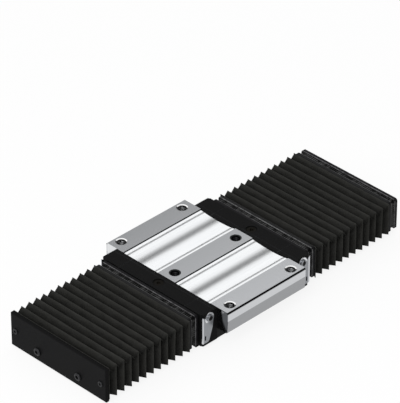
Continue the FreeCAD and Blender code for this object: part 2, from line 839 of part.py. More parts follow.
def pieces():
    """Every piece by name."""
    made = {"steel_block": steel_block()}
    for side, side_name in ((1, "left"), (-1, "right")):
        for level, load_drop, return_drop in zip(("upper", "lower"), load_run_drops, return_run_drops):
            made[f"ball_loop_{level}_{side_name}"] = ball_loop(load_drop, return_drop, side)
        made[f"retainer_strips_{side_name}"] = retainer_strips(side)
        made[f"side_seal_{side_name}"] = side_seal(side)
        made[f"side_bracket_far_{side_name}"] = side_bracket(side)
        made[f"side_bracket_near_{side_name}"] = turned(side_bracket(-side))
    ends = {
        "end_cap": end_cap(),
        "end_seal": end_seal(),
        "cap_screws": cap_screws(),
        "bracket_screws": bracket_screws(),
        "lubrication_plug": lubrication_plug(),
        "mount_plate": mount_plate(cap_front, 1, mount_screw_radius + screw_hole_clearance),
        "mount_screws": mount_screws(mount_front),
        "bellows_frame": bellows_frame(mount_front),
        "frame_pins": frame_pins(mount_front),
        "bellows_cloth": bellows_cloth(),
    }
    for name, shape in ends.items():
        made[f"{name}_far"] = shape
        made[f"{name}_near"] = turned(shape)
    outer_joint = plate_back + frame_thickness + neck_length
    made["bellows_frame_outer"] = bellows_frame(outer_joint, -1)
    outer_hole_radius = mount_screw_radius + outer_hole_clearance
    made["mount_plate_outer"] = mount_plate(outer_joint + mount_thickness, -1, outer_hole_radius)
    made["frame_pins_outer"] = frame_pins(outer_joint, -1)
    made["end_plate"] = turned(end_plate())
    made["back_frame"] = turned(back_frame())
    made["rail_screws"] = turned(
        plate_screws(
            rail_screw_spacing,
            rail_screw_drop,
            rail_screw_radius,
            rail_screw_head_radius,
            rail_screw_head_height,
            rail_screw_reach,
        )
    )
    made["frame_screws"] = turned(
        plate_screws(
            frame_screw_spacing,
            frame_screw_drop,
            frame_screw_radius,
            frame_screw_head_radius,
            frame_screw_head_height,
            back_frame_thickness,
        )
    )
    return made


def main():
    os.makedirs("parts", exist_ok=True)
    for name, shape in pieces().items():
        shape.exportStep(f"parts/{name}.step")


main()
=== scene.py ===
"""Looks of a wide rail carriage with a folded bellows at each end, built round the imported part.

X runs along the rail, Y across it and Z up. Lengths are metres, and materials read millimetres.
"""

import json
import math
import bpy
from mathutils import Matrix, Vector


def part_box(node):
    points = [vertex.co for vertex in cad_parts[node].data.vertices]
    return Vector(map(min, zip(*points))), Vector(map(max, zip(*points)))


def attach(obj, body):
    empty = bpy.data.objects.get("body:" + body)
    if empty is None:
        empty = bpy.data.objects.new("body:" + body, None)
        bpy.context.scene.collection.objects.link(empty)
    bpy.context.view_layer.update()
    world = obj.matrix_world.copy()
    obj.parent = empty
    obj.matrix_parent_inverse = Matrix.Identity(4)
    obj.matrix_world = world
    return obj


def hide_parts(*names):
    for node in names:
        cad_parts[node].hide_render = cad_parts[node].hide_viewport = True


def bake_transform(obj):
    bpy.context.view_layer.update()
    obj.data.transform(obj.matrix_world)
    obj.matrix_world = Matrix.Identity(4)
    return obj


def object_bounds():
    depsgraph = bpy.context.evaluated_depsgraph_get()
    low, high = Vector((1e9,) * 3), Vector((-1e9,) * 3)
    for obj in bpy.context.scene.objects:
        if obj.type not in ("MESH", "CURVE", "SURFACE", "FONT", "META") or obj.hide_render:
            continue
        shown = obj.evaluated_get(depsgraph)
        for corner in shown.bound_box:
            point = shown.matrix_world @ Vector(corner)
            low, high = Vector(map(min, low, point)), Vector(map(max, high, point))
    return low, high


bl_info = {
    "name": "Bellows Rail Carriage",
    "version": (1, 0, 0),
    "blender": (4, 5, 0),
    "location": "View3D > Sidebar > Bellows",
    "description": "Dresses a rail carriage and the folded bellows at its two ends",
    "category": "Object",
}

import bpy
import numpy as np
from bpy.props import FloatProperty, FloatVectorProperty, IntProperty, PointerProperty
from mathutils import Matrix, Vector

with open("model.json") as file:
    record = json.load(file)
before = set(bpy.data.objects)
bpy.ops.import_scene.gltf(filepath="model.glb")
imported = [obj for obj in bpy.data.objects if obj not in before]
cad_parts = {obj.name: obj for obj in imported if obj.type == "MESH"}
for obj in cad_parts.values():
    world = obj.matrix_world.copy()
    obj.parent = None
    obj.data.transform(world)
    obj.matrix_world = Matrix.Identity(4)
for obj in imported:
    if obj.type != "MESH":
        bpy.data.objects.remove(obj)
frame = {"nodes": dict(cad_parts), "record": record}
CAD_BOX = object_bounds()
NODES = frame["nodes"]
SLOT_OF = {part["node"]: part["material_slot"] for part in frame["record"]["subparts"]}

MM = 0.001
CLOTH_LOW, CLOTH_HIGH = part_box("bellows_cloth_far")
FRAME_LOW, FRAME_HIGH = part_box("bellows_frame_far")
FRAME_THICKNESS = 3.2 * MM
FRAME_BACK = FRAME_HIGH.x - FRAME_THICKNESS
PLATE_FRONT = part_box("mount_plate_far")[1].x
OUTER_FRAME_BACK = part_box("bellows_frame_outer")[0].x + FRAME_THICKNESS
OUTER_PLATE_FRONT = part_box("mount_plate_outer")[0].x
LOWEST = CAD_BOX[0].z
HOLE_ALONG = 60.0 * MM
HOLE_ACROSS = 107.0 * MM

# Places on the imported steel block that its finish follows, in millimetres: along the rail and across
# it from the block's middle, and down from its top.
BLOCK_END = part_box("steel_block")[1].x / MM
FLANGE_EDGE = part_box("steel_block")[1].y / MM
FLANGE_BEVEL = 0.8
FLANGE_THICKNESS = 17.5
DATUM_BAND = 7.15
CHANNEL_INNER = 8.5
CHANNEL_OUTER = 43.0
CHANNEL_SIDE = 0.6


def length(name, description, default, lowest=0.0):
    return FloatProperty(
        name=name, description=description, default=default, min=lowest, precision=5, unit="LENGTH"
    )


def view_angle(name, description, degrees):
    return FloatProperty(name=name, description=description, default=math.radians(degrees), unit="ROTATION")


def colour(name, description, default):
    return FloatVectorProperty(
        name=name, description=description, default=default, min=0.0, max=1.0, size=3, subtype="COLOR"
    )


class ClothSizes(bpy.types.PropertyGroup):
    """Sizes of the two folded cloths."""

    folds: IntProperty(name="Folds", description="Folds in each bellows", default=11, min=1)
    top_depth: length("Top fold depth", "From a ridge down to a valley on the top", 0.0046)
    side_depth: length("Side fold depth", "From a ridge in to a valley on the sides", 0.0057)
    gusset: length("Gusset", "How far the corner tucks down under the top's edge at a valley", 0.0028)
    corner: length("Corner radius", "Radius of a ridge where it turns from the top to a side", 0.0007)
    wall: length("Wall", "Thickness of the folded cloth, measured across the bellows", 0.0010)
    crease: FloatProperty(
        name="Crease",
        description="How sharp the ridges are, 1 for a knife edge",
        default=0.9985,
        min=0.1,
        max=0.9999,
    )
    unevenness: length("Unevenness", "How far the hand-folded ridges wander", 0.00014)


class RibSizes(bpy.types.PropertyGroup):
    """Sizes of the small ribs in the groove beside each bellows frame."""

    pitch: length("Rib pitch", "From one rib to the next", 0.0017)
    width: length("Rib width", "Width of a rib along the groove", 0.0009)
    height: length("Rib height", "How far a rib stands out of the groove", 0.0020)
    inset: length("Groove depth", "From the frame's edge in to the groove's floor", 0.0026)
    radius: length("Groove corner", "Radius of the groove's floor at a corner", 0.0011)


class ThreadSizes(bpy.types.PropertyGroup):
    """Sizes of the screw threads in the six table bolt holes."""

    hole: length("Hole radius", "Radius of the plain hole", 0.0034)
    crest: length("Crest radius", "Radius inside the thread's crests", 0.00308)
    pitch: length("Thread pitch", "From one turn to the next", 0.00125)
    start: length("First turn", "Depth of the first turn under the top face", 0.0011)
    along: length("Hole spacing", "Between holes along the rail", HOLE_ALONG)
    across: length("Hole row spacing", "Between the two outer rows of holes", HOLE_ACROSS)
    depth: length("Through depth", "Depth of the last turn in a flange", 0.0142)
    blind_depth: length("Blind depth", "Depth of the last turn in the middle", 0.0072)


class Finishes(bpy.types.PropertyGroup):
    """Colours of the materials, as linear values."""

    satin_steel: colour("Satin steel", "Ground strips of the block's top", (0.455, 0.465, 0.48))
    bright_steel: colour("Bright steel", "Polished channels of the block's top", (0.95, 0.965, 0.98))
    cloth: colour("Cloth", "Coated cloth of the bellows", (0.0330, 0.0330, 0.0305))
    cap: colour("End caps", "Moulded end caps", (0.0050, 0.0050, 0.0052))
    plate: colour("Mounting plates", "Plates between caps and bellows", (0.0068, 0.0064, 0.0074))
    frame: colour("Bellows frames", "Frames that hold the cloth", (0.0080, 0.0080, 0.0086))
    paint: colour("End plate", "Paint of the end plate", (0.0080, 0.0080, 0.0083))
    bracket: colour("Brackets", "Bright sheet steel of the side brackets", (0.27, 0.28, 0.295))


class StageSettings(bpy.types.PropertyGroup):
    """The camera, the floor and the light."""

    azimuth: view_angle("Azimuth", "0 looks along +Y", -44.92)
    elevation: view_angle("Elevation", "Above the horizon", 34.10)
    distance: length("Distance", "From the block's top to the camera, along the view", 2.4837)
    right: length("Right", "Where the block's top sits right of the centre", 0.00385, -1.0)
    up: length("Up", "Where the block's top sits above the centre", -0.0374, -1.0)
    lens: FloatProperty(name="Lens", description="Focal length on a 36 mm sensor, in mm", default=318.2)
    floor: length("Floor", "Size of the floor", 6.0)
    key: FloatProperty(name="Key light", description="Power of the large soft light, in watts", default=9.0)


class Term:
    """A shader socket that takes part in plain arithmetic: each operator adds a Math node."""

    def __init__(self, paint, socket):
        self.paint = paint
        self.socket = socket

    def __add__(self, other):
        return self.paint.math("ADD", self, other)

    def __sub__(self, other):
        return self.paint.math("SUBTRACT", self, other)

    def __rsub__(self, other):
        return self.paint.math("SUBTRACT", other, self)

    def __mul__(self, other):
        return self.paint.math("MULTIPLY", self, other)

    def __abs__(self):
        return self.paint.math("ABSOLUTE", self)

    def __gt__(self, other):
        return self.paint.math("GREATER_THAN", self, other)

    def __lt__(self, other):
        return self.paint.math("LESS_THAN", self, other)

    __radd__ = __add__
    __rmul__ = __mul__


class Paint:
    """Builds one node tree. A value is a number, a tuple or a Term."""

    def __init__(self, tree):
        self.tree = tree
        tree.nodes.clear()

    def node(self, kind, settings=None, values=None):
        """Adds a node: its settings first, then the values or links of its sockets."""
        made = self.tree.nodes.new(kind)
        for name, value in (settings or {}).items():
            setattr(made, name, value)
        for key, value in (values or {}).items():
            if isinstance(value, Term):
                self.tree.links.new(value.socket, made.inputs[key])
            else:
                made.inputs[key].default_value = value
        return made

    def term(self, node, output=0):
        """One output of a node, by number or by name."""
        return Term(self, node.outputs[output])

    def math(self, operation, *values):
        """A Math node on numbers and terms."""
        return self.term(self.node("ShaderNodeMath", {"operation": operation}, dict(enumerate(values))))

    def step(self, value, low, high):
        """0 below low, 1 above high and a smooth rise between them."""
        settings = {"interpolation_type": "SMOOTHSTEP"}
        return self.term(self.node("ShaderNodeMapRange", settings, {0: value, 1: low, 2: high}))

    def band(self, value, low, high, soft):
        """1 between low and high, with edges of the softness given."""
        return self.step(value, low - soft, low + soft) * (1 - self.step(value, high - soft, high + soft))

    def mix(self, share, first, second):
        """From the first colour to the second as the share goes from 0 to 1."""
        values = {0: share}
        for key, tint in ((6, first), (7, second)):
            values[key] = tint if isinstance(tint, Term) else (*tint, 1.0)
        return self.term(self.node("ShaderNodeMix", {"data_type": "RGBA"}, values), 2)

    def scaled(self, tint, level):
        """A colour made lighter or darker by a number."""
        return self.term(self.node("ShaderNodeVectorMath", {"operation": "SCALE"}, {0: tint, 3: level}))

    def place(self, stretch=(1.0, 1.0, 1.0)):
        """Object coordinates in millimetres, each times its own stretch."""
        scale = tuple(1000.0 * share for share in stretch)
        coordinates = self.term(self.node("ShaderNodeTexCoord"), "Object")
        return self.term(self.node("ShaderNodeMapping", values={"Vector": coordinates, "Scale": scale}))

    def cloth_place(self, stretch=(1.0, 1.0)):
        """The cloth's own UV map, in millimetres along and across the folds."""
        uv = self.term(self.node("ShaderNodeUVMap", {"uv_map": "cloth"}))
        scale = (1000.0 * stretch[0], 1000.0 * stretch[1], 1.0)
        return self.term(self.node("ShaderNodeMapping", values={"Vector": uv, "Scale": scale}))

    def split(self, vector):
        """The three parts of a vector."""
        node = self.node("ShaderNodeSeparateXYZ", values={0: vector})
        return [self.term(node, output) for output in range(3)]

    def noise(self, vector, scale, detail=2.0, roughness=0.5):
        """Noise from 0 to 1, with scale as waves per unit of the vector."""
        values = {"Vector": vector, "Scale": scale, "Detail": detail, "Roughness": roughness}
        return self.term(self.node("ShaderNodeTexNoise", values=values))

    def bump(self, height, distance):
        """A normal from a height of which 1 stands for the distance given, in metres."""
        values = {"Height": height, "Distance": distance, "Strength": 1.0}
        return self.term(self.node("ShaderNodeBump", values=values))


def new_material(name, **sockets):
    """A material with its shader. Constant values are set on the shader's own sockets, by name."""
    material = bpy.data.materials.new(f"{name}_look")
    material.use_nodes = True
    paint = Paint(material.node_tree)
    shader = paint.node("ShaderNodeBsdfPrincipled")
    for key, value in sockets.items():
        shader.inputs[key.replace("_", " ")].default_value = value
    paint.node("ShaderNodeOutputMaterial", values={"Surface": paint.term(shader)})
    return material, paint, shader


def feed(paint, shader, **terms):
    """Links terms to the shader's sockets by name."""
    for key, term in terms.items():
        paint.tree.links.new(term.socket, shader.inputs[key.replace("_", " ")])


def bolt_mouths(paint, x, y):
    """Masks of the six table bolt holes: an outer one's disc, a middle one's, and a painted highlight on an
    outer cone's side towards +X and +Y.

    The nearest hole lies (along, outer) away in the flanges, and (along, y) away in the middle row.
    """
    mouth_squared = 19.4
    cone_squared = 11.9
    along = paint.math("MULTIPLY", paint.math("SIGN", x), -HOLE_ALONG / 2 / MM) + x
    outer = paint.math("MULTIPLY", paint.math("SIGN", y), -HOLE_ACROSS / 2 / MM) + y
    outer_disc = (along * along + outer * outer) < mouth_squared
    middle_disc = (along * along + y * y) < mouth_squared
    cone = (along * along + outer * outer) > cone_squared
    # Painted highlight on the side of the cone towards +X and +Y
    bright = paint.step(along * 0.8 + outer * 0.6, 0.4, 1.4) * cone
    return outer_disc, middle_disc, bright


def channel_form(paint, y, inward):
    """Height of a channel's polished floor in millimetres, from its distance in from the floor's edge.

    The floor rolls off as the square of the distance over its outer 5.2 mm, and the one at -Y leans a
    little about its middle line.
    """
    rolled = 5.2
    near_edge = paint.math("MAXIMUM", rolled - inward, 0.0)
    roll_off = near_edge * near_edge * -0.0109
    middle = (CHANNEL_INNER + CHANNEL_OUTER) / 2
    lean = (y + middle) * (y < 0.0) * -0.0050
    return roll_off + lean


def ground_steel(finishes):
    """Satin strips, polished channels with rolled-off edges, and flanks under the flanges painted near black
    as shade.

    The channels' sides rise 45 degrees at their edges, and the ground datum band ends part of the way down
    the flanges' sides; below it the sides are painted darker as the shade they mirror, and rougher. The
    flanks under the flanges are painted near black because they lie in the flanges' shade, and are rougher.
    Painted light also gives dark reflection lines on the channels' sides and the flanges' bevels, shade in
    the bolt holes, a highlight on each flange hole's cone, strips lighter towards -Y and end faces darker
    towards -Y.
    """
    end_face = (0.72, 0.73, 0.74)
    datum_face = (0.60, 0.61, 0.625)
    # Painted shade: the flanges' sides below the datum band, darker as the shade they mirror
    lower_band_shade_tint = (0.345, 0.35, 0.36)
    # Painted shade: near black for the flanks that lie in shade under the flanges
    flank_shade_tint = (0.006, 0.006, 0.006)
    # Painted reflection: dark lines on the channels' sides and the flanges' bevels
    dark_reflection_tint = (0.02, 0.02, 0.02)
    # Painted shade in the mouths of the bolt holes
    outer_hole_shade = (0.045, 0.045, 0.047)
    middle_hole_shade = (0.026, 0.028, 0.028)
    # Painted highlight colour for the flange holes' cones
    cone_highlight_tint = (0.95, 0.95, 0.95)
    soft = 0.05
    material, paint, shader = new_material("ground_steel", Metallic=1.0)
    x, y, z = paint.split(paint.place())
    across = abs(y)
    top = paint.step(z, -1.5, -1.3)
    floor_from = CHANNEL_INNER + CHANNEL_SIDE
    floor_to = CHANNEL_OUTER - CHANNEL_SIDE
    low = 1 - paint.step(z, -0.6, -0.5)
    channel = paint.band(across, floor_from - soft, floor_to + soft, soft) * low * top
    inner_side = paint.band(across, CHANNEL_INNER, floor_from, 0.04)
    outer_side = paint.band(across, floor_to, CHANNEL_OUTER, 0.04)
    side = paint.step(inner_side + outer_side, 0.2, 0.6) * top
    bevel = FLANGE_EDGE - FLANGE_BEVEL
    below = 1 - paint.step(z, -0.1, -0.05)
    rim = paint.band(across, bevel - soft, FLANGE_EDGE + 0.2, 0.04) * below * top
    datum = paint.step(across, bevel - soft, bevel) * (1 - top)
    # Painted shade below the datum band, which is also rougher
    lower = datum * (1 - paint.step(z, -DATUM_BAND - 0.15, -DATUM_BAND + 0.15))
    # Painted shade: 1 on the flanks below the flanges' underside
    under_flange_shade = 1 - paint.step(z, -FLANGE_THICKNESS - 0.2, -FLANGE_THICKNESS + soft)
    ends = paint.step(abs(x), BLOCK_END - 0.10, BLOCK_END - 0.03)
    outer_disc, middle_disc, bright = bolt_mouths(paint, x, y)
    sunk = 1 - paint.step(z, -0.03, -0.01)
    grind = paint.noise(paint.place((0.05, 3.0, 3.0)), 1.0, 3.0)
    streak = paint.noise(paint.place((0.010, 0.7, 0.5)), 1.0, 2.0)
    grain = paint.noise(paint.place(), 6.0, 3.0, 0.6)
    # Painted light: the satin strips grow lighter towards -Y
    satin = paint.scaled(finishes.satin_steel, grain * 0.06 + 0.91 - y * 0.0034)
    polished = paint.scaled(finishes.bright_steel, grind * 0.05 + streak * 0.10 + 0.91)
    base = paint.mix(channel, satin, polished)
    # Painted shade: the end faces grow darker towards -Y
    base = paint.mix(ends, base, paint.scaled(end_face, y * 0.0052 + 0.75))
    base = paint.mix(datum, base, datum_face)
    # Paints the shade below the datum band
    base = paint.mix(lower, base, lower_band_shade_tint)
    # Paints the shade under the flanges
    base = paint.mix(under_flange_shade, base, flank_shade_tint)
    # Painted dark reflection on the channels' sides, stronger towards -Y
    base = paint.mix(side * (0.72 - y * 0.0102), base, dark_reflection_tint)
    # Painted dark reflection on the flanges' bevels
    base = paint.mix(rim * 0.95, base, dark_reflection_tint)
    # Painted shade in the bolt holes, darker deeper down in the middle ones
    base = paint.mix(outer_disc * sunk, base, outer_hole_shade)
    base = paint.mix(middle_disc * sunk, base, paint.scaled(middle_hole_shade, paint.step(z, -4.0, -1.0)))
    # Paints the highlight on the flange holes' cones
    base = paint.mix(outer_disc * bright * sunk, base, cone_highlight_tint)
    gloss = 0.30 - channel * 0.23 - side * 0.16 - rim * 0.16 + lower * 0.1 - ends * 0.18 + under_flange_shade * 0.2
    inward = paint.math("MINIMUM", across - (floor_from + soft), (floor_to - soft) - across)
    texture = (grind * (channel * 0.2 + 0.3) + grain * (0.4 - channel * 0.3)) * 0.003
    height = channel * channel_form(paint, y, inward) + texture
    feed(paint, shader, Base_Color=base, Roughness=gloss + grain * 0.03, Normal=paint.bump(height, MM))
    return material


def chrome_balls():
    """Bright ground balls with a faint haze."""
    material, paint, shader = new_material("ball_steel", Metallic=1.0)
    haze = paint.noise(paint.place(), 1.5, 2.0)
    base = paint.scaled((0.72, 0.72, 0.74), haze * 0.08 + 0.94)
    feed(paint, shader, Base_Color=base, Roughness=haze * 0.06 + 0.06)
    return material


def moulded(name, tint, shine, rough, grain_scale, grain_depth, marks=None):
    """A moulding with fine spark-eroded grain and faint flow marks, and marks of its own drawn over them.

    The grain's scale is in waves per millimetre, and its depth is in metres.
    """
    material, paint, shader = new_material(name, **{"Specular IOR Level": shine})
    grain = paint.noise(paint.place(), grain_scale, 3.0, 0.6)
    flow = paint.noise(paint.place((0.15, 0.05, 0.15)), 1.0, 2.0)
    base = paint.scaled(tint, flow * 0.30 + grain * 0.16 + 0.77)
    if marks:
        base = marks(paint, base)
    gloss = grain * 0.12 + rough
    feed(paint, shader, Base_Color=base, Roughness=gloss, Normal=paint.bump(grain, grain_depth))
    return material


def cap_edge_highlights(paint, base):
    """Pale lines painted along and across the top of an end cap as highlights on the edges of a shallow
    panel.
    """
    along = 41.2
    across = 32.5
    half = 0.2
    x, y, z = paint.split(paint.place())
    top = paint.step(z, -1.0, -0.6)
    # Painted highlights where a shallow panel's edges would catch light
    panel_edge_highlights = paint.band(abs(y), across - half, across + half, 0.08)
    panel_edge_highlights = panel_edge_highlights + paint.band(abs(x), along - half, along + half, 0.08)
    return paint.mix(paint.step(panel_edge_highlights, 0.0, 1.0) * top, base, (0.030, 0.031, 0.033))


def edge_highlight_lines(faces, tint):
    """Paler lines painted as edge highlights on the rims of plates, broken into patches, just inside faces at
    places along the rail, in metres.

    A face's side is 1 where its plate lies beyond it, and -1 where its plate lies before it.
    """
    inset = 0.06
    width = 0.59
    starts = [face / MM + (inset if side > 0 else -inset - width) for face, side in faces]

    def draw(paint, base):
        x, y, z = paint.split(paint.place())
        rim = paint.math("MAXIMUM", paint.step(z, -1.1, -1.0), paint.step(abs(y), 45.9, 46.0))
        line = sum(paint.band(abs(x), start, start + width, 0.02) for start in starts)
        # Breaks the painted highlight lines into patches
        patchy = paint.step(paint.noise(paint.place((0.3, 1.0, 1.0)), 0.30, 3.0, 0.6), 0.35, 0.65)
        return paint.mix(line * rim * (patchy * 0.7 + 0.3), base, tint)

    return draw


def caught_dust(paint, base):
    """Dust that lies unevenly between the ribs, in patches a few millimetres long."""
    dust = paint.step(paint.noise(paint.place((0.3, 1.0, 0.5)), 0.22, 2.0), 0.42, 0.60)
    return paint.mix(dust, paint.scaled(base, 0.3), (0.060, 0.060, 0.060))


def socket_grease(paint, base):
    """Brown grease that fills the socket of the port's plug."""
    _, _, z = paint.split(paint.place())
    return paint.mix(1 - paint.step(z, -0.95, -0.8), base, (0.015, 0.0135, 0.011))


def folded_cloth(finishes):
    """Woven cloth with a soft coating: dusty and crumpled, with painted shade darker from the ridges down
    into the valleys, and painted glints as specks on the ridges.

    The weave is the product of two sines of 9 radians a millimetre.
    """
    material, paint, shader = new_material("bellows_cloth", **{"Specular IOR Level": 0.02})
    along, across, _ = paint.split(paint.cloth_place())
    weave = paint.math("SINE", along * 9.0) * paint.math("SINE", across * 9.0)
    ridge = paint.term(paint.node("ShaderNodeAttribute", {"attribute_name": "ridge"}), "Fac")
    dust = paint.noise(paint.cloth_place((0.25, 0.10)), 1.0, 3.0, 0.6)
    crumple = paint.noise(paint.cloth_place((0.35, 0.12)), 1.0, 4.0, 0.55)
    fine = paint.noise(paint.cloth_place((1.0, 0.6)), 1.3, 3.0, 0.7)
    # Painted glints: bright specks on the ridges
    ridge_glint = paint.step(paint.noise(paint.cloth_place((0.5, 0.9)), 1.0, 2.0), 0.62, 0.70)
    ridge_glint = ridge_glint * paint.step(ridge, 0.93, 1.0)
    # Painted shade: darker from the ridges down into the valleys, with dust and weave noise over it
    level = (ridge * 0.30 + 0.34) * ridge + dust * 0.62 + fine * 0.46 + weave * 0.03 - 0.18
    feed(
        paint,
        shader,
        Base_Color=paint.scaled(finishes.cloth, level + ridge_glint * 0.5),
        Roughness=0.70 + fine * 0.16 - ridge * 0.08,
        Normal=paint.bump(weave * 0.06 + crumple * 0.8 + fine * 0.20, 0.0006),
    )
    return material


def painted_plate(finishes):
    """Stoved matt paint with a fine orange peel, painted darker on the plate's rim than on its outer face as
    shade.
    """
    material, paint, shader = new_material("end_plate_paint", **{"Specular IOR Level": 0.03})
    peel = paint.noise(paint.place(), 2.2, 2.0)
    drift = paint.noise(paint.place((0.03, 0.03, 0.05)), 1.0, 2.0)
    x, _, _ = paint.split(paint.place())
    front = -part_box("end_plate")[0].x / MM
    # Painted shade: the rim is 0.45 as bright as the outer face
    face = paint.step(abs(x), front - 0.73, front - 0.23)
    base = paint.scaled(finishes.paint, (drift * 0.25 + peel * 0.08 + 0.84) * (face * 0.55 + 0.45))
    feed(paint, shader, Base_Color=base, Roughness=peel * 0.1 + 0.42, Normal=paint.bump(peel, 0.000012))
    return material


def bracket_steel(finishes):
    """Rolled sheet with an upright grain, with a highlight painted along its outer edge and round its ear.

    The screw's middle is painted as a dark disc of shade in its socket, and a painted highlight on the ring
    round its head, left off the ring's lowest part, runs from 2.86 to 4.18 mm from its axis. Reaches are
    squared.
    """
    screw_along = 46.1
    screw_drop = 4.6
    disc_squared = 3.4
    ring_squared = (8.2, 17.5)
    material, paint, shader = new_material("bracket_steel", Metallic=1.0)
    x, y, z = paint.split(paint.place())
    rolled = paint.noise(paint.place((4.0, 4.0, 0.25)), 1.0, 3.0)
    # Painted highlight along the outer edge and round the ear
    rim = paint.step(abs(x), 51.2, 52.3)
    base = paint.mix(rim, finishes.bracket, (0.62, 0.63, 0.65))
    along = abs(x) - screw_along
    lift = z + screw_drop
    reach = along * along + lift * lift
    # Painted shade in the screw's socket
    disc = (reach < disc_squared) * paint.step(abs(y), 50.05, 50.1)
    # Painted highlight on the ring round the screw's head, left off its lowest part
    ring = (reach > ring_squared[0]) * (reach < ring_squared[1]) * (lift > -3.0)
    base = paint.mix(disc, base, (0.02, 0.02, 0.02))
    base = paint.mix(ring, base, (0.75, 0.76, 0.78))
    feed(
        paint,
        shader,
        Base_Color=paint.scaled(base, rolled * 0.3 + 0.85),
        Roughness=rolled * 0.1 + 0.26,
        Normal=paint.bump(rolled, 0.000006),
    )
    return material


def black_screws():
    """Black oxide on steel, a little uneven."""
    material, paint, shader = new_material("black_screws", Metallic=0.85)
    grain = paint.noise(paint.place(), 3.0, 3.0)
    feed(
        paint,
        shader,
        Base_Color=paint.scaled((0.026, 0.026, 0.028), grain * 0.4 + 0.8),
        Roughness=grain * 0.12 + 0.30,
        Normal=paint.bump(grain, 0.00001),
    )
    return material


def thread_steel():
    """Cut thread with dark oil on it in patches, and painted dark nearly all over in the blind middle holes
    as their shade.
    """
    material, paint, shader = new_material("thread_steel", Metallic=1.0)
    _, y, _ = paint.split(paint.place())
    oil = paint.noise(paint.place(), 0.8, 3.0, 0.6)
    in_flange = paint.step(abs(y), 10.0, 11.0)
    # Oil patches in the flange holes; painted shade over nearly all of the middle holes
    clean_and_lit = paint.step(oil, 0.36, 0.56) * (in_flange * 0.95 + 0.05)
    base = paint.mix(clean_and_lit, (0.012, 0.012, 0.013), (0.25, 0.255, 0.26))
    feed(paint, shader, Base_Color=base, Roughness=oil * 0.2 + 0.24)
    return material


def make_materials(finishes):
    """One material for each slot of the record."""
    # Painted edge highlights on the mounting plates and the bellows frames
    plate_edge_highlights = edge_highlight_lines(((PLATE_FRONT, -1), (OUTER_PLATE_FRONT, 1)), (0.125, 0.124, 0.128))
    frame_edge_highlights = edge_highlight_lines(((FRAME_BACK, 1), (OUTER_FRAME_BACK, -1)), (0.140, 0.141, 0.142))
    materials = {
        "ground_steel": ground_steel(finishes),
        "ball_steel": chrome_balls(),
        "bellows_cloth": folded_cloth(finishes),
        "bracket_steel": bracket_steel(finishes),
        "end_plate_paint": painted_plate(finishes),
        "black_screws": black_screws(),
    }
    # Slot, tint, shine, roughness, grain's scale and depth, and marks
    for name, *finish in (
        ("retainer_resin", (0.10, 0.11, 0.10), 0.4, 0.40, 4.0, 0.000010),
        ("cap_resin", finishes.cap, 0.035, 0.50, 5.0, 0.000012, cap_edge_highlights),
        ("plate_resin", finishes.plate, 0.06, 0.46, 4.0, 0.000012, plate_edge_highlights),
        ("frame_resin", finishes.frame, 0.07, 0.40, 4.0, 0.000010, frame_edge_highlights),
        ("seal_rubber", (0.012, 0.012, 0.012), 0.2, 0.60, 3.0, 0.000020),
        ("plug_resin", (0.0060, 0.0053, 0.0042), 0.03, 0.45, 4.0, 0.000008, socket_grease),
    ):
        materials[name] = moulded(name, *finish)
    return materials


def add_piece(name, points, faces, material, smooth=True):
    """A mesh object at the origin with its place in its mesh, from an array of points and a list of faces."""
    mesh = bpy.data.meshes.new(name)
    mesh.from_pydata(points.tolist(), [], faces)
    mesh.update()
    mesh.polygons.foreach_set("use_smooth", np.full(len(mesh.polygons), smooth))
    piece = bpy.data.objects.new(name, mesh)
    bpy.context.scene.collection.objects.link(piece)
    piece.data.materials.append(material)
    return piece


def grid_faces(rows, columns, offset=0, flip=False):
    """Quads between neighbours of a grid of rows times columns points, numbered row by row."""
    first = np.arange(rows - 1)[:, None] * columns + np.arange(columns - 1)[None, :] + offset
    quads = np.stack([first, first + 1, first + 1 + columns, first + columns], axis=-1).reshape(-1, 4)
    return quads[:, ::-1] if flip else quads


def shell_faces(rows, columns, side):
    """Quads of a closed shell: a grid, a second grid numbered after it, and the edge that joins them.

    A shell that is built towards +X, on side 1, has its faces turned the other way.
    """
    count = rows * columns
    outer = grid_faces(rows, columns, flip=side > 0)
    inner = grid_faces(rows, columns, count, flip=side < 0)
    number = np.arange(count).reshape(rows, columns)
    rim = np.concatenate([number[0, :-1], number[:-1, -1], number[-1, :0:-1], number[:0:-1, 0]])
    after = np.roll(rim, -1)
    edge = np.stack([rim, rim + count, after + count, after], 1)
    return np.concatenate([outer, inner, edge if side < 0 else edge[:, ::-1]])


def walked_length(line):
    """The length walked along a line of points, from 0 at its first point."""
    return np.append(0.0, np.cumsum(np.linalg.norm(np.diff(line, axis=0), axis=1)))


def both_halves(right):
    """A whole outline from its right half, which ends on the middle line: the mirror image comes first."""
    mirror = np.array([-1.0, 1.0])
    return np.concatenate([right * mirror, right[-2::-1]])


def outline(half, top, foot, radius, leg_steps, corner_steps, top_steps):
    """An upside-down U as (y, z) points and outward normals, from the foot at -Y over the top to +Y.

    Its right half is a leg, a quarter turn about (half - radius, top - radius) and half the roof. The
    left half is its mirror image.
    """
    inner = half - radius
    high = top - radius
    share = np.linspace(0.0, 1.0, leg_steps, endpoint=False)
    turn = np.linspace(0.0, math.pi / 2, corner_steps, endpoint=False)
    over = np.linspace(1.0, 0.0, top_steps)
    leg = np.stack([half + 0 * share, foot + share * (high - foot)], 1)
    corner = np.stack([inner + radius * np.cos(turn), high + radius * np.sin(turn)], 1)
    roof = np.stack([over * inner, top + 0 * over], 1)
    points = np.concatenate([leg, corner, roof])
    turns = np.concatenate([0 * share, turn, math.pi / 2 + 0 * over])
    normals = np.stack([np.cos(turns), np.sin(turns)], 1)
    return both_halves(points), both_halves(normals)


